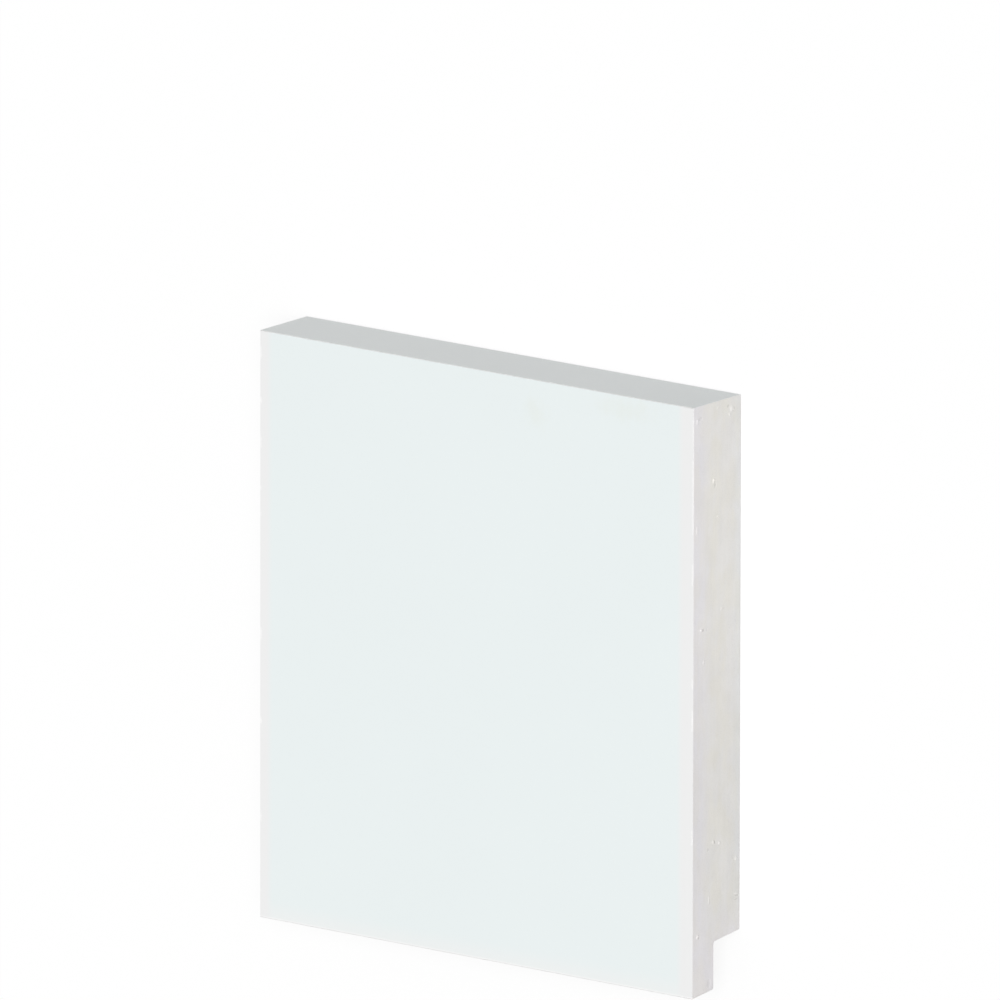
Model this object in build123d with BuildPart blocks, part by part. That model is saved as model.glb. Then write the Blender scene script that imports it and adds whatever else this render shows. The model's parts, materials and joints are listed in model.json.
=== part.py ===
"""Skirting board: a short sawn length of plain, square-edged foamed polymer skirting.

One extruded piece, lying on its back: +X runs along the board, +Y from its foot to its top edge,
and +Z out of its front face. The origin is on the wall face's plane, midway along and up the board.
"""

import os
from math import radians, tan

from build123d import *

# Driving dimensions, in millimetres and degrees
board_length = 92.0  # from one sawn end to the other
board_height = 102.0  # from the foot's front edge to the top edge
board_thickness = 13.0  # from the wall face to the front face
lip_thickness = 5.8  # of the lip that hides the rebate from the front
rebate_height = 9.6  # from the foot's front edge to the rebate's ceiling, at the wall face
undercut_angle = 6.0  # rise of the foot and of the rebate's ceiling towards the wall
front_edge_radius = 0.15  # of the two long edges of the front face
hidden_edge_radius = 0.3  # of the long edges at the wall and behind the lip
rebate_corner_radius = 0.5  # of the rebate's inside corner

# Places in the section, where the foot's front edge is at the lowest height
foot = -board_height / 2
top = board_height / 2
wall_face = 0.0
front_face = board_thickness
lip_back = front_face - lip_thickness
rise_per_depth = tan(radians(undercut_angle))
lip_toe = foot + lip_thickness * rise_per_depth
ceiling_at_wall = foot + rebate_height
ceiling_at_lip = ceiling_at_wall - (lip_back - wall_face) * rise_per_depth

with BuildPart() as skirting_board:
    with BuildSketch(Plane.YZ.offset(-board_length / 2)) as section:
        with BuildLine():
            Polyline(
                (foot, front_face),
                (lip_toe, lip_back),
                (ceiling_at_lip, lip_back),
                (ceiling_at_wall, wall_face),
                (top, wall_face),
                (top, front_face),
                close=True,
            )
        make_face()
        by_depth = section.vertices().group_by(Axis.Y)
        wall_corners, lip_corners, front_corners = by_depth
        toe_corner, inside_corner = lip_corners.sort_by(Axis.X)
        fillet(front_corners, front_edge_radius)
        fillet([*wall_corners, toe_corner], hidden_edge_radius)
        fillet(inside_corner, rebate_corner_radius)
    extrude(amount=board_length)

skirting_board.part.label = "skirting_board"

os.makedirs("parts", exist_ok=True)
export_step(skirting_board.part, "parts/skirting_board.step")
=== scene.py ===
import json
import math
import random

import bmesh
import bpy
from mathutils import Matrix, Vector

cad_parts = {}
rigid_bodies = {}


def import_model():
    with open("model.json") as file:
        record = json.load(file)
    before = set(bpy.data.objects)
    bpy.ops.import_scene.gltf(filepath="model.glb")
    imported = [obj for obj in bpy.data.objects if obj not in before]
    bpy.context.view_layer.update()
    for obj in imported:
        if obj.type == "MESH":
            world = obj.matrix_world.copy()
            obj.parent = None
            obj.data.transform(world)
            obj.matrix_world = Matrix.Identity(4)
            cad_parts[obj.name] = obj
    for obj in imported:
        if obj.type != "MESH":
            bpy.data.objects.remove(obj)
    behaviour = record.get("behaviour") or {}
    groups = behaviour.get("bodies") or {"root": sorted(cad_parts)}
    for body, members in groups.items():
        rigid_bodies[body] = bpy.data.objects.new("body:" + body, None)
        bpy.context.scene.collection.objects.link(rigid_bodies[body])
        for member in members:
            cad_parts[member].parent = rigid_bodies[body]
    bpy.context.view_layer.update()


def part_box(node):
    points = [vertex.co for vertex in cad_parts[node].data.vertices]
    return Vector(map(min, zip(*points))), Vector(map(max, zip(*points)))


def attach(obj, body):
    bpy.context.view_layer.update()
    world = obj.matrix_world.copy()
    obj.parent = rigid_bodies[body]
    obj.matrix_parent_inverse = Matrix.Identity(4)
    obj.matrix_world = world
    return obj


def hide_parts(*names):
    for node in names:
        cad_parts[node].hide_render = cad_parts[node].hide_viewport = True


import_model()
low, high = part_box("skirting_board")
mm = 0.001

bpy.context.scene.view_settings.view_transform = "Standard"


# Selecting by place
def startFresh():
    if bpy.context.object and bpy.context.object.mode != "OBJECT":
        bpy.ops.object.mode_set(mode="OBJECT")
    bpy.ops.object.select_all(action="DESELECT")


def pick(piece, kind, rule):  # kind is VERT, EDGE or FACE
    bpy.ops.mesh.select_mode(type=kind)
    bpy.ops.mesh.select_all(action="DESELECT")
    mesh = bmesh.from_edit_mesh(piece.data)
    parts = {"VERT": mesh.verts, "EDGE": mesh.edges, "FACE": mesh.faces}[kind]
    for part in parts:
        if rule(part):
            part.select_set(True)
    bmesh.update_edit_mesh(piece.data, loop_triangles=False, destructive=False)


def pickAll():
    bpy.ops.mesh.select_all(action="SELECT")


# The board: its section is cut from a flat plate, then drawn out to length and sawn square
board = {
    "name": "skirtingBoard",
    "lip": 5.8 * mm,  # thickness of the lip in front of the rebate
    "rebate": 9.6 * mm,  # from the foot to the rebate's ceiling, at the wall
    "undercut": math.radians(6),  # of the foot and of the ceiling
    "topEdge": 0.15 * mm,  # radius of the front's upper edge
    "footEdge": 0.06 * mm,  # and of its lower one, which is sharper
    "hiddenEdge": 0.3 * mm,  # radius of the long edges at the wall and behind the lip
    "corner": 0.5 * mm,  # radius inside the rebate
    "steps": 6,  # faces round a long edge
    "sawnEdge": 0.03 * mm,  # broken edge round each sawn end
    "sawnSteps": 2,  # faces across it
    "flatUnder": math.radians(1),  # faces that turn by less become one
    "smoothUnder": math.radians(50),  # edges that turn by less are shaded smooth
    "closeBy": 0.05 * mm,  # how near to a place counts as there
}
lipBack = high.z - board["lip"]
slope = Vector((0, math.cos(board["undercut"]), math.sin(board["undercut"])))
footPoint = Vector((low.x, -high.y, high.z))
ceilingPoint = Vector((low.x, -high.y + board["rebate"], 0))


def inRebate(place):
    return place.z < lipBack and (place - ceilingPoint).dot(slope) < 0


def drawSection():
    startFresh()
    bpy.ops.mesh.primitive_plane_add(
        size=1, location=(low.x, 0, high.z / 2), rotation=(0, math.pi / 2, 0)
    )
    piece = bpy.context.object
    piece.name = board["name"]
    piece.data.name = board["name"]
    piece.scale = (high.z, 2 * high.y, 1)  # the thickness, then the height
    bpy.ops.object.transform_apply(location=True, rotation=True, scale=True)
    bpy.ops.object.mode_set(mode="EDIT")
    pickAll()
    bpy.ops.mesh.bisect(plane_co=footPoint, plane_no=slope, clear_inner=True)
    pickAll()
    bpy.ops.mesh.bisect(plane_co=(0, 0, lipBack), plane_no=(0, 0, 1))
    pickAll()
    bpy.ops.mesh.bisect(plane_co=ceilingPoint, plane_no=slope)
    pick(piece, "FACE", lambda face: inRebate(face.calc_center_median()))
    bpy.ops.mesh.delete(type="FACE")
    pickAll()
    bpy.ops.mesh.dissolve_limited(angle_limit=board["flatUnder"])
    return piece


def drawToLength():
    pickAll()
    bpy.ops.mesh.extrude_region_move(
        TRANSFORM_OT_translate={"value": (high.x - low.x, 0, 0)}
    )
    pickAll()
    bpy.ops.mesh.normals_make_consistent(inside=False)


def roundLongEdges(piece):
    rise = math.tan(board["undercut"])
    insideCorner = (ceilingPoint.y - lipBack * rise, lipBack)
    lipToe = (footPoint.y + board["lip"] * rise, lipBack)
    rounds = [
        (board["corner"], [insideCorner]),
        (board["topEdge"], [(high.y, high.z)]),
        (board["footEdge"], [(footPoint.y, high.z)]),
        (board["hiddenEdge"], [(high.y, 0), (ceilingPoint.y, 0), lipToe]),
    ]
    for radius, corners in rounds:

        def isChosen(edge):
            start, end = (vert.co for vert in edge.verts)
            reaches = [math.hypot(start.y - y, start.z - z) for y, z in corners]
            return abs(start.x - end.x) > high.x and min(reaches) < board["closeBy"]

        pick(piece, "EDGE", isChosen)
        bpy.ops.mesh.bevel(offset=radius, segments=board["steps"], affect="EDGES")


def breakSawnEdges(piece):
    def isSawn(edge):
        return all(abs(vert.co.x) > high.x - board["closeBy"] for vert in edge.verts)

    pick(piece, "EDGE", isSawn)
    bpy.ops.mesh.bevel(offset=board["sawnEdge"], segments=board["sawnSteps"], affect="EDGES")


boardPiece = drawSection()
drawToLength()
roundLongEdges(boardPiece)
breakSawnEdges(boardPiece)
print("board: section drawn to length, edges rounded")


# Which finish each face wears, by the number of its slot
wears = {
    "primer": 0,
    "foam": 1,
    "bare": 2,
    "endFacing": 0.99,  # a sawn end's normal has more than this along X
    "backFacing": -0.3,  # and the back's has less than this along Z
    "ceilingSkin": 0.1 * mm,  # how far outside the rebate its own faces may lie
}


def isEnd(face):
    return abs(face.normal.x) > wears["endFacing"]


def isBare(face):
    place = face.calc_center_median()
    atBack = face.normal.z < wears["backFacing"]
    return not isEnd(face) and (atBack or inRebate(place - slope * wears["ceilingSkin"]))


def isFoam(face):
    return face.material_index == wears["foam"]


def wear(piece, index, rule):
    piece.active_material_index = index
    pick(piece, "FACE", rule)
    bpy.ops.object.material_slot_assign()


def paint(piece, finishes):
    for finish in finishes:
        piece.data.materials.append(finish)
    wear(piece, wears["primer"], lambda face: True)
    wear(piece, wears["foam"], isEnd)
    wear(piece, wears["bare"], isBare)


# The sawn ends: a fine grid scored by the saw, with crumbs of foam left standing and cells torn open
sawnEnds = {
    "grid": 1 * mm,  # first grid on each end
    "cuts": 3,  # and the cuts inside each of its cells
    "scoreDepth": 0.016 * mm,
    "scorePitch": 0.8 * mm,  # across the thickness
    "scoreRun": 16 * mm,  # along the height
    "grainDepth": 0.012 * mm,
    "grainPitch": 0.5 * mm,
    "tearCuts": 4,  # finer cuts round crumbs and voids
    "tearReach": 1.5,  # how far out they go, in spreads
    # crumbs, in mm: height from the middle, depth from the wall, half height, half width, spread, rise
    "rightCrumbs": [
        (48.9, 2.4, 0.30, 0.35, 0.34, 0.18),
        (48.1, 3.1, 0.15, 0.10, 0.30, 0.11),
        (49.8, 6.3, 0.08, 0.20, 0.25, 0.09),
        (48.4, 12.0, 0.35, 0.10, 0.28, 0.13),
        (37.4, 7.5, 0.20, 0.10, 0.32, 0.19),
        (31.1, 6.3, 0.06, 0.20, 0.24, 0.11),
        (29.7, 12.0, 0.55, 0.06, 0.28, 0.12),
        (15.0, 5.2, 0.06, 0.20, 0.24, 0.13),
        (12.3, 10.8, 0.08, 0.12, 0.34, 0.22),
        (6.6, 10.1, 0.25, 0.08, 0.26, 0.11),
        (-24.9, 7.4, 0.20, 0.08, 0.28, 0.15),
        (-25.4, 5.7, 0.08, 0.10, 0.28, 0.16),
        (-28.9, 1.1, 0.20, 0.06, 0.26, 0.13),
        (-35.0, 0.9, 0.06, 0.30, 0.28, 0.15),
        (-34.7, 8.5, 0.50, 0.05, 0.25, 0.10),
        (-40.5, 11.6, 0.10, 0.14, 0.34, 0.21),
    ],
    "leftCrumbs": 14,  # on the left end they come by chance, each number between two bounds
    "leftCrumb": [(-38, 49), (1, 12), (0.08, 0.30), (0.05, 0.10), (0.25, 0.35), (0.08, 0.22)],
    "bodyRise": 0.7,  # how much of a crumb's rise is its body's
    "nodules": 3,  # smaller rises on each crumb
    "noduleReach": 0.4,  # how far round its top they stand, in spreads
    "noduleRise": (0.2, 0.5),  # shares of the crumb's rise
    "noduleHalf": 0.06,  # half size of a nodule's top, in mm
    "noduleSpread": 0.5,  # share of the crumb's spread
    # voids, in mm: height, depth, half height, half width, and how much painted shade each holds
    "rightVoids": [
        (49.6, 3.5, 0.35, 0.40, 0.12),
        (48.8, 11.1, 0.45, 0.60, 0.07),
        (36.6, 7.0, 0.60, 0.40, 0.09),
        (12.2, 10.2, 0.30, 0.34, 0.20),
        (12.1, 9.2, 0.25, 0.15, 0.12),
        (-25.0, 6.9, 0.35, 0.40, 0.16),
        (-26.0, 8.7, 0.40, 0.18, 0.20),
        (-28.7, 2.0, 0.35, 0.15, 0.12),
        (-35.4, 0.8, 0.20, 0.55, 0.14),
        (-36.0, 1.0, 0.12, 0.60, 0.15),
        (-40.8, 11.2, 0.30, 0.18, 0.16),
        (-49.1, 8.4, 0.80, 0.55, 0.05),
    ],
    "leftVoids": 9,
    "leftVoid": [(-38, 49), (1, 12), (0.2, 0.6), (0.15, 0.5), (0.08, 0.25)],
    "voidDepth": 0.06,  # in mm
    "voidWall": 0.5,  # how much of a void's smaller half size is sloping wall
    "seed": 4,
}


def spotList(right, leftCount, leftBounds, dice):  # each spot starts with its side: 1 right, -1 left
    spots = [(1, *spot) for spot in right]
    for _ in range(leftCount):
        spots.append((-1, *(dice.uniform(*bounds) for bounds in leftBounds)))
    return spots


crumbs = spotList(
    sawnEnds["rightCrumbs"],
    sawnEnds["leftCrumbs"],
    sawnEnds["leftCrumb"],
    random.Random(sawnEnds["seed"]),
)
voids = spotList(
    sawnEnds["rightVoids"],
    sawnEnds["leftVoids"],
    sawnEnds["leftVoid"],
    random.Random(sawnEnds["seed"] + 1),
)


def risesOf(crumb, dice):  # its body, with nodules round its top
    side, height, depth, halfHeight, halfWidth, spread, rise = crumb
    reach = sawnEnds["noduleReach"] * spread
    half = sawnEnds["noduleHalf"]
    rises = [(side, height, depth, halfHeight, halfWidth, spread, sawnEnds["bodyRise"] * rise)]
    for _ in range(sawnEnds["nodules"]):
        up = height + dice.uniform(-1, 1) * (halfHeight + reach)
        across = depth + dice.uniform(-1, 1) * (halfWidth + reach)
        share = dice.uniform(*sawnEnds["noduleRise"])
        rises.append((side, up, across, half, half, sawnEnds["noduleSpread"] * spread, share * rise))
    return rises


def dropOf(void):  # its floor, inside its sloping wall
    side, height, depth, halfHeight, halfWidth, _ = void
    wall = sawnEnds["voidWall"] * min(halfHeight, halfWidth)
    return (side, height, depth, halfHeight - wall, halfWidth - wall, wall, -sawnEnds["voidDepth"])


def isOn(place, spot, grow=0):  # on the spot's top or floor, grown by so many spreads
    side, height, depth, halfHeight, halfWidth, spread, _ = spot
    up = (place.y / mm - height) / (halfHeight + grow * spread)
    if abs(up) > 1 or place.x * side < 0:
        return False
    across = (place.z / mm - depth) / (halfWidth + grow * spread)
    return math.hypot(up, across) < 1


def isNearEnd(face):  # on a sawn end or its broken edge
    return abs(face.calc_center_median().x) > high.x - board["sawnEdge"]


def gridEnds(piece):
    step = sawnEnds["grid"]
    spans = [(Vector((0, 1, 0)), low.y, high.y), (Vector((0, 0, 1)), low.z, high.z)]
    for axis, start, stop in spans:
        for count in range(math.ceil(start / step) + 1, math.floor(stop / step)):
            pick(piece, "FACE", isNearEnd)
            bpy.ops.mesh.bisect(plane_co=axis * count * step, plane_no=axis)
    pick(piece, "FACE", lambda face: isFoam(face) and len(face.verts) <= 4)
    bpy.ops.mesh.subdivide(number_cuts=sawnEnds["cuts"])


def groupEnds(piece):  # all of the sawn faces but their rim
    pick(piece, "FACE", isFoam)
    bpy.ops.mesh.select_less()
    piece.vertex_groups.new(name="sawn")
    bpy.ops.object.vertex_group_assign()


def scoreEnds(piece, name, depth, pitch, run):
    startFresh()
    bpy.ops.object.empty_add()
    ruler = bpy.context.object
    ruler.scale = (1, run, pitch)
    pattern = bpy.data.textures.new(name, "CLOUDS")
    pattern.noise_scale = 1
    startFresh()
    piece.select_set(True)
    bpy.context.view_layer.objects.active = piece
    bpy.ops.object.modifier_add(type="DISPLACE")
    push = piece.modifiers[-1]
    push.texture = pattern
    push.texture_coords = "OBJECT"
    push.texture_coords_object = ruler
    push.vertex_group = "sawn"
    push.direction = "X"
    push.mid_level = 0.5
    push.strength = depth
    bpy.context.view_layer.update()
    bpy.ops.object.modifier_apply(modifier=push.name)
    startFresh()
    ruler.select_set(True)
    bpy.ops.object.delete()
    piece.select_set(True)
    bpy.context.view_layer.objects.active = piece


def tearEnds(piece):
    dice = random.Random(sawnEnds["seed"])
    rises = [rise for crumb in crumbs for rise in risesOf(crumb, dice)]
    drops = [dropOf(void) for void in voids]

    def isTorn(face):
        place = face.calc_center_median()
        return isFoam(face) and any(isOn(place, spot, sawnEnds["tearReach"]) for spot in crumbs + drops)

    pick(piece, "FACE", isTorn)
    bpy.ops.mesh.subdivide(number_cuts=sawnEnds["tearCuts"])
    pick(piece, "FACE", lambda face: isNearEnd(face) and len(face.verts) > 4)
    bpy.ops.mesh.quads_convert_to_tris(ngon_method="BEAUTY")  # where coarse cells meet fine ones
    for spot in rises + drops:
        side, *_, spread, rise = spot
        pick(piece, "VERT", lambda vert: isOn(vert.co, spot))
        bpy.ops.transform.translate(
            value=(side * rise * mm, 0, 0),
            use_proportional_edit=True,
            proportional_edit_falloff="SMOOTH",
            proportional_size=spread * mm,
        )


def evenNormals(piece):
    bpy.ops.object.shade_smooth_by_angle(angle=board["smoothUnder"])
    bpy.ops.object.modifier_add(type="WEIGHTED_NORMAL")
    piece.modifiers[-1].keep_sharp = True
    bpy.ops.object.modifier_apply(modifier=piece.modifiers[-1].name)


# Finishes, on object coordinates in metres
noiseRange = (0.3, 0.7)  # between which most of a noise lies
noiseMiddle = 0.5


def addNode(finish, kind, inputs=None, **settings):
    node = finish.node_tree.nodes.new("ShaderNode" + kind)
    for name, value in settings.items():
        setattr(node, name, value)
    for name, value in (inputs or {}).items():
        node.inputs[name].default_value = value
    return node


def join(finish, output, socket):
    finish.node_tree.links.new(output, socket)


def newFinish(name):
    finish = bpy.data.materials.new(name)
    finish.use_nodes = True
    coords = addNode(finish, "TexCoord").outputs["Object"]
    return finish, finish.node_tree.nodes["Principled BSDF"], coords


def splitAxes(finish, coords):
    node = addNode(finish, "SeparateXYZ")
    join(finish, coords, node.inputs[0])
    return node.outputs


def mathNode(finish, operation, first, second=0):  # first and second are sockets or numbers
    node = addNode(finish, "Math", operation=operation)
    for socket, value in zip(node.inputs, (first, second)):
        if isinstance(value, (int, float)):
            socket.default_value = value
        else:
            join(finish, value, socket)
    return node.outputs[0]


def ease(finish, value, fromLow, fromHigh, toLow=0, toHigh=1):
    bounds = {"From Min": fromLow, "From Max": fromHigh, "To Min": toLow, "To Max": toHigh}
    node = addNode(finish, "MapRange", bounds, interpolation_type="SMOOTHSTEP")
    join(finish, value, node.inputs["Value"])
    return node.outputs["Result"]


def blend(finish, share, first, second, mode="MIX"):  # first and second are sockets or colours
    node = addNode(finish, "Mix", data_type="RGBA", blend_type=mode)
    factor, colourA, colourB = node.inputs[0], node.inputs[6], node.inputs[7]  # those for colours
    for socket, value in ((factor, share), (colourA, first), (colourB, second)):
        if isinstance(value, (int, float)):
            socket.default_value = value
        elif isinstance(value, tuple):
            socket.default_value = (*value, 1)
        else:
            join(finish, value, socket)
    return node.outputs[2]


def shaded(finish, tone, shade):
    return blend(finish, 1.0, tone, shade, "MULTIPLY")


def stretched(finish, coords, pitches):  # one unit of pattern for each pitch, in metres
    scale = tuple(1 / pitch for pitch in pitches)
    node = addNode(finish, "Mapping", {"Scale": scale})
    join(finish, coords, node.inputs["Vector"])
    return node.outputs[0]


def noise(finish, coords, pitches, detail, roughness=0.5):
    node = addNode(finish, "TexNoise", {"Scale": 1, "Detail": detail, "Roughness": roughness})
    join(finish, stretched(finish, coords, pitches), node.inputs["Vector"])
    return node.outputs[0]


def ragged(finish, coords, pitches, reach):  # strays to both sides of 0, by half the reach at most
    straying = noise(finish, coords, pitches, detail=3)
    return mathNode(finish, "MULTIPLY", mathNode(finish, "SUBTRACT", straying, noiseMiddle), reach)


def fromSpot(finish, coords, centre, reach):  # 0 at its centre and 1 at its border
    scale = tuple(1 / part for part in reach)
    shift = tuple(-place / part for place, part in zip(centre, reach))
    spot = addNode(finish, "Mapping", {"Location": shift, "Scale": scale})
    join(finish, coords, spot.inputs["Vector"])
    away = addNode(finish, "VectorMath", operation="LENGTH")
    join(finish, spot.outputs[0], away.inputs[0])
    return away.outputs["Value"]


def bump(finish, shader, height, depth):
    node = addNode(finish, "Bump", {"Strength": 1, "Distance": depth})
    join(finish, height, node.inputs["Height"])
    join(finish, node.outputs[0], shader.inputs["Normal"])


primer = {
    "face": (0.823, 0.880, 0.880),  # cool white of the front
    "side": (0.863, 0.864, 0.863),  # neutral along the sawn ends
    "sideFade": (1.5 * mm, 3.3 * mm),
    "sideShift": 0.45 * mm,  # wider on the right
    "foot": (0.856, 0.882, 0.877),  # paler along the foot
    "footFade": (0, 3.8 * mm),
    "top": (0.859, 0.889, 0.887),  # of the top edge: painted light, the same coat made lighter than the front's to lessen the top edge's shade
    "topFade": (0, 0.15 * mm),
    "frayedAndHighlit": (0.945, 0.940, 0.938),  # where the coat frays at the sawn ends, painted brighter there as a highlight, and as a painted highlight along the foot
    "frayHighlightReach": (0.15 * mm, 0.45 * mm),
    "frayHighlightPitch": (0.5 * mm, 0.5 * mm, 0.5 * mm),  # its ragged border
    "frayHighlightRagged": 0.5 * mm,
    "footHighlight": 0.7,  # how far it shows along the foot, where it is only a painted highlight lifting the foot edge's shade
    # stretches of the right end where the coat frays, painted bright as highlights, in mm from the
    # middle: upper and lower end, how far it shows
    "rightFrayAndHighlight": [
        (49.0, 44.3, 0.5),
        (42.0, 29.2, 0.7),
        (24.0, 20.4, 0.8),
        (4.2, 2.6, 1.0),
        (-1.2, -4.8, 0.9),
        (-21.8, -24.4, 0.8),
    ],
    "frayHighlightEase": 0.5 * mm,
    "leftFrayAndHighlight": (0.55, 0.65),  # on the left end these fraying, painted-highlight dashes come by chance, where a noise is above this
    "leftPitch": (1, 5 * mm, 1),
    # faint smudges on the front, in mm from its middle: along, up, half length, half height
    "smudges": [(12.4, 45.2, 3.4, 4.2), (31.6, 48.6, 8.4, 3.2)],
    "smudge": (0.986, 0.979, 0.958),
    "smudgeDepth": 1 * mm,  # how far from the front's plane they reach
    "smudgeFade": (0, 1),
    "smudgePitch": (1.6 * mm, 2.2 * mm, 2 * mm),  # their ragged border
    "smudgeRagged": 1.4,
    "mottle": 0.006,
    "mottlePitch": (24 * mm, 24 * mm, 24 * mm),
    "peelPitch": (0.9 * mm, 0.9 * mm, 0.9 * mm),
    "peelRange": (0.25, 0.75),
    "peelDepth": 0.004 * mm,
    "roughness": (0.52, 0.62),
}


def primerTone(finish, axes, fromFoot):
    shifted = mathNode(finish, "ADD", axes["X"], primer["sideShift"])
    fromSide = mathNode(finish, "SUBTRACT", high.x, mathNode(finish, "ABSOLUTE", shifted))
    fromTop = mathNode(finish, "SUBTRACT", high.y, axes["Y"])
    tone = blend(finish, ease(finish, fromFoot, *primer["footFade"]), primer["foot"], primer["face"])
    tone = blend(finish, ease(finish, fromSide, *primer["sideFade"]), primer["side"], tone)
    # painted light: the top edge's coat is lighter than the front's to lessen its shade
    return blend(finish, ease(finish, fromTop, *primer["topFade"]), primer["top"], tone)


def frayedAndHighlitEnds(finish, coords, axes):  # how far the coat frays along each end, painted brighter there as a highlight
    half = primer["frayHighlightEase"] / 2
    right = 0
    for upper, lower, share in primer["rightFrayAndHighlight"]:
        above = ease(finish, axes["Y"], lower * mm - half, lower * mm + half, 0, share)
        past = ease(finish, axes["Y"], upper * mm - half, upper * mm + half, 0, share)
        right = mathNode(finish, "ADD", right, mathNode(finish, "SUBTRACT", above, past))
    dashes = noise(finish, coords, primer["leftPitch"], detail=2)
    left = ease(finish, dashes, *primer["leftFrayAndHighlight"])
    onRight = mathNode(finish, "GREATER_THAN", axes["X"], 0)
    onLeft = mathNode(finish, "SUBTRACT", 1, onRight)
    rightShare = mathNode(finish, "MULTIPLY", right, onRight)
    leftShare = mathNode(finish, "MULTIPLY", left, onLeft)
    return mathNode(finish, "ADD", rightShare, leftShare)


# Painted highlight: brighter coat along the sawn ends' front edges, partly real fraying and partly
# painted highlight, and along the foot edge
def frayedAndHighlit(finish, coords, axes, fromFoot, tone):
    fromEnd = mathNode(finish, "SUBTRACT", high.x, mathNode(finish, "ABSOLUTE", axes["X"]))
    inset = ragged(finish, coords, primer["frayHighlightPitch"], primer["frayHighlightRagged"])
    nearEnd = ease(finish, mathNode(finish, "ADD", fromEnd, inset), *primer["frayHighlightReach"], 1, 0)
    endFrayAndHighlight = mathNode(finish, "MULTIPLY", nearEnd, frayedAndHighlitEnds(finish, coords, axes))
    # a painted highlight along the foot edge, against its shade
    footHighlight = ease(finish, fromFoot, *primer["frayHighlightReach"], primer["footHighlight"], 0)
    return blend(finish, mathNode(finish, "MAXIMUM", endFrayAndHighlight, footHighlight), tone, primer["frayedAndHighlit"])


def smudged(finish, coords, tone):
    drift = ragged(finish, coords, primer["smudgePitch"], primer["smudgeRagged"])
    for along, up, halfLength, halfHeight in primer["smudges"]:
        centre = (along * mm, up * mm, high.z)
        reach = (halfLength * mm, halfHeight * mm, primer["smudgeDepth"])
        away = mathNode(finish, "ADD", fromSpot(finish, coords, centre, reach), drift)
        share = ease(finish, away, *primer["smudgeFade"], 1, 0)
        tone = blend(finish, share, tone, primer["smudge"], "MULTIPLY")
    return tone


def primerFinish():
    finish, shader, coords = newFinish("primerCoat")
    axes = splitAxes(finish, coords)
    fromFoot = mathNode(finish, "ADD", axes["Y"], high.y)
    tone = primerTone(finish, axes, fromFoot)
    tone = frayedAndHighlit(finish, coords, axes, fromFoot, tone)
    tone = smudged(finish, coords, tone)
    mottle = noise(finish, coords, primer["mottlePitch"], detail=3)
    tone = shaded(finish, tone, ease(finish, mottle, *noiseRange, 1 - primer["mottle"], 1))
    join(finish, tone, shader.inputs["Base Color"])
    peel = noise(finish, coords, primer["peelPitch"], detail=3, roughness=0.55)
    rough = ease(finish, peel, *primer["peelRange"], *primer["roughness"])
    join(finish, rough, shader.inputs["Roughness"])
    bump(finish, shader, peel, primer["peelDepth"])
    return finish


foam = {
    # share of the thickness from the wall, and the tone there: neutral at both faces, yellower between
    "tones": [
        (0.00, (0.828, 0.830, 0.823)),
        (0.20, (0.847, 0.834, 0.811)),
        (0.32, (0.862, 0.848, 0.818)),
        (0.60, (0.862, 0.848, 0.818)),
        (0.84, (0.855, 0.839, 0.852)),
    ],
    "lipTone": (0.876, 0.855, 0.866),  # the lip's end is neutral too
    "lipFade": (-46 * mm, -34 * mm),
    "lowerPaintedShade": (0.947, 1),  # painted shade: a little darker in the lower half, where less light falls
    "footFade": (-14 * mm, 16 * mm),
    "voidFade": (0.4, 1),  # from a void's floor to its border
    "patchPitch": (4 * mm, 6 * mm, 2.5 * mm),
    "patchRange": (0.35, 0.65),
    "warm": (0.998, 0.991, 0.966),
    "cool": (1.000, 1.000, 1.008),
    "blotchPitch": (5 * mm, 6 * mm, 3.4 * mm),
    "blotchShade": (0.979, 1.021),
    "streakPitch": (4 * mm, 18 * mm, 0.7 * mm),
    "streakShade": (0.98, 1),
    "cellPitch": (0.26 * mm, 0.26 * mm, 0.26 * mm),
    "cellRange": (0, 0.45),
    "cellShade": (0.94, 1),
    "cellDepth": 0.012 * mm,
    "roughness": 0.85,
}


def foamTone(finish, axes):
    ramp = addNode(finish, "ValToRGB")
    join(finish, mathNode(finish, "DIVIDE", axes["Z"], high.z), ramp.inputs[0])
    stops = ramp.color_ramp.elements
    while len(stops) < len(foam["tones"]):
        stops.new(0.5)
    for stop, (position, tone) in zip(stops, foam["tones"]):
        stop.position = position
        stop.color = (*tone, 1)
    aboveLip = ease(finish, axes["Y"], *foam["lipFade"])
    return blend(finish, aboveLip, foam["lipTone"], ramp.outputs[0])


def voidPaintedShade(finish, coords):  # 1, and less inside each void: painted shade in the pits
    shade = 1
    for side, height, depth, halfHeight, halfWidth, dark in voids:
        centre = (side * high.x, height * mm, depth * mm)
        reach = (high.x, halfHeight * mm, halfWidth * mm)
        away = fromSpot(finish, coords, centre, reach)
        inside = ease(finish, away, *foam["voidFade"], 1 - dark, 1)
        shade = mathNode(finish, "MINIMUM", shade, inside)
    return shade


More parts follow.
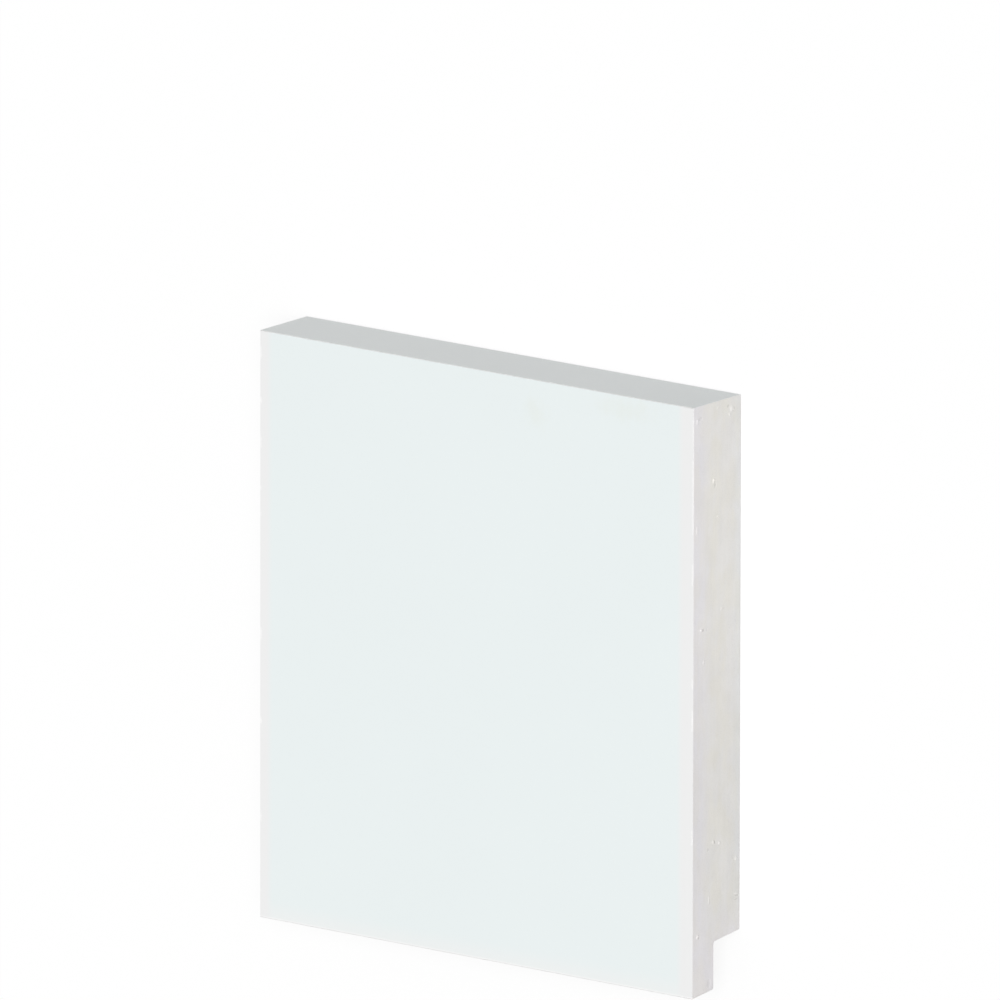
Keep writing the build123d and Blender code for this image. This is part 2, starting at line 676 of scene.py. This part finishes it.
def foamFinish():
    finish, shader, coords = newFinish("sawnFoam")
    axes = splitAxes(finish, coords)
    patches = noise(finish, coords, foam["patchPitch"], detail=2)
    blotches = noise(finish, coords, foam["blotchPitch"], detail=4, roughness=0.6)
    streaks = noise(finish, coords, foam["streakPitch"], detail=3, roughness=0.6)
    voronoi = addNode(finish, "TexVoronoi", {"Scale": 1, "Randomness": 1})
    join(finish, stretched(finish, coords, foam["cellPitch"]), voronoi.inputs["Vector"])
    cells = voronoi.outputs["Distance"]
    tone = foamTone(finish, axes)
    shades = [
        blend(finish, ease(finish, patches, *foam["patchRange"]), foam["warm"], foam["cool"]),
        # painted shade, darker towards the foot
        ease(finish, axes["Y"], *foam["footFade"], *foam["lowerPaintedShade"]),
        # painted shade inside the voids
        voidPaintedShade(finish, coords),
        ease(finish, blotches, *noiseRange, *foam["blotchShade"]),
        ease(finish, streaks, *noiseRange, *foam["streakShade"]),
        ease(finish, cells, *foam["cellRange"], *foam["cellShade"]),
    ]
    for shade in shades:
        tone = shaded(finish, tone, shade)
    join(finish, tone, shader.inputs["Base Color"])
    shader.inputs["Roughness"].default_value = foam["roughness"]
    bump(finish, shader, cells, foam["cellDepth"])
    return finish


bare = {
    "tone": (0.800, 0.800, 0.780),  # uncoated, as it left the die
    "linePitch": (140 * mm, 1.1 * mm, 1.1 * mm),
    "lineShade": (0.975, 1),
    "lineDepth": 0.012 * mm,
    "roughness": (0.42, 0.58),
}


def bareFinish():
    finish, shader, coords = newFinish("bareBack")
    lines = noise(finish, coords, bare["linePitch"], detail=4, roughness=0.6)
    tone = shaded(finish, bare["tone"], ease(finish, lines, *noiseRange, *bare["lineShade"]))
    join(finish, tone, shader.inputs["Base Color"])
    rough = ease(finish, lines, *noiseRange, *bare["roughness"])
    join(finish, rough, shader.inputs["Roughness"])
    bump(finish, shader, lines, bare["lineDepth"])
    return finish


paint(boardPiece, [primerFinish(), foamFinish(), bareFinish()])
print("board: primer, foam and bare back on their faces")
gridEnds(boardPiece)
groupEnds(boardPiece)
print("board: ends gridded")
scoreEnds(boardPiece, "sawScores", sawnEnds["scoreDepth"], sawnEnds["scorePitch"], sawnEnds["scoreRun"])
scoreEnds(boardPiece, "foamGrain", sawnEnds["grainDepth"], sawnEnds["grainPitch"], sawnEnds["grainPitch"])
bpy.ops.object.mode_set(mode="EDIT")
tearEnds(boardPiece)
bpy.ops.object.mode_set(mode="OBJECT")
evenNormals(boardPiece)
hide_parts("skirting_board")
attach(boardPiece, "root")
print("board: ends scored and torn,", len(boardPiece.data.polygons), "faces")


# Camera: the photograph's angle to the board, from far off
view = {
    "turn": math.radians(37.665),  # from square-on towards the right end
    "rise": math.radians(13.567),  # from square-on towards the top edge
    "roll": math.radians(0.094),
    "lens": 1500,  # long, so that there is hardly any perspective
    "sensor": 36,
    "width": 168.273 * mm,  # across the picture, at the board
    "aimRight": 0.092 * mm,  # picture centre from the board's middle
    "aimUp": 26.372 * mm,
}


def placeCamera():
    turn, rise, roll = view["turn"], view["rise"], view["roll"]
    back = Vector((math.sin(turn) * math.cos(rise), math.sin(rise), math.cos(turn) * math.cos(rise)))
    level = Vector((math.cos(turn), 0, -math.sin(turn)))
    right = level * math.cos(roll) + back.cross(level) * math.sin(roll)
    up = back.cross(right)
    aim = Vector((0, 0, high.z / 2)) + right * view["aimRight"] + up * view["aimUp"]
    distance = view["lens"] * view["width"] / view["sensor"]
    startFresh()
    bpy.ops.object.camera_add()
    camera = bpy.context.object
    camera.name = "viewCamera"
    camera.data.sensor_width = view["sensor"]
    camera.data.lens = view["lens"]
    turned = Matrix((right, up, back)).transposed().to_4x4()
    camera.matrix_world = Matrix.Translation(aim + back * distance) @ turned
    bpy.context.scene.camera = camera


placeCamera()
print("camera placed")


# Studio: a pale floor, an even world and one soft lamp near the camera
studio = {
    "worldLevel": 0.5,
    "keyFrom": (0.52, 0.16, 0.84),
    "keyLevel": 1.84,
    "keySpread": math.radians(30),
    "white": (1, 1, 1, 1),
    "floorTone": (0.6, 0.6, 0.6, 1),  # what the floor sends back to the board
    "shadowShare": 0.15,  # how strongly the floor shows the shadow
    "floorSize": 8,
}


def seenDirectly(tree):  # 1 for rays that show the floor or world itself
    path = tree.nodes.new("ShaderNodeLightPath")
    seen = path.outputs["Is Camera Ray"]
    for name in ("Is Glossy Ray", "Is Transmission Ray"):
        either = tree.nodes.new("ShaderNodeMath")
        either.operation = "MAXIMUM"
        tree.links.new(seen, either.inputs[0])
        tree.links.new(path.outputs[name], either.inputs[1])
        seen = either.outputs[0]
    return seen


def mixShaders(tree, share, first, second):  # share is a socket or a number
    mix = tree.nodes.new("ShaderNodeMixShader")
    if isinstance(share, float):
        mix.inputs["Fac"].default_value = share
    else:
        tree.links.new(share, mix.inputs["Fac"])
    tree.links.new(first, mix.inputs[1])
    tree.links.new(second, mix.inputs[2])
    return mix.outputs[0]


def colouredShader(tree, kind, colour):
    node = tree.nodes.new("ShaderNode" + kind)
    node.inputs["Color"].default_value = colour
    return node


def layFloor():
    startFresh()
    bpy.ops.mesh.primitive_plane_add(size=studio["floorSize"])
    floor = bpy.context.object
    floor.name = "paleFloor"
    finish = bpy.data.materials.new("paleFloor")
    finish.use_nodes = True
    tree = finish.node_tree
    tree.nodes.clear()
    plain = colouredShader(tree, "BsdfDiffuse", studio["floorTone"])
    shadow = colouredShader(tree, "BsdfDiffuse", studio["white"])
    glow = colouredShader(tree, "Emission", studio["white"])
    shown = mixShaders(tree, studio["shadowShare"], glow.outputs[0], shadow.outputs[0])
    both = mixShaders(tree, seenDirectly(tree), plain.outputs[0], shown)
    tree.links.new(both, tree.nodes.new("ShaderNodeOutputMaterial").inputs["Surface"])
    floor.data.materials.append(finish)


def lightWorld():
    world = bpy.data.worlds.new("studioWorld")
    world.use_nodes = True
    bpy.context.scene.world = world
    tree = world.node_tree
    tree.nodes.clear()
    light = colouredShader(tree, "Background", studio["white"])
    light.inputs["Strength"].default_value = studio["worldLevel"]
    backdrop = colouredShader(tree, "Background", studio["white"])
    both = mixShaders(tree, seenDirectly(tree), light.outputs[0], backdrop.outputs[0])
    tree.links.new(both, tree.nodes.new("ShaderNodeOutputWorld").inputs["Surface"])


def hangKey():
    startFresh()
    bpy.ops.object.light_add(type="SUN")
    key = bpy.context.object
    key.name = "keyLamp"
    key.data.energy = studio["keyLevel"]
    key.data.angle = studio["keySpread"]
    key.rotation_euler = Vector(studio["keyFrom"]).to_track_quat("Z", "Y").to_euler()


layFloor()
lightWorld()
hangKey()
print("floor, world and key lamp set")
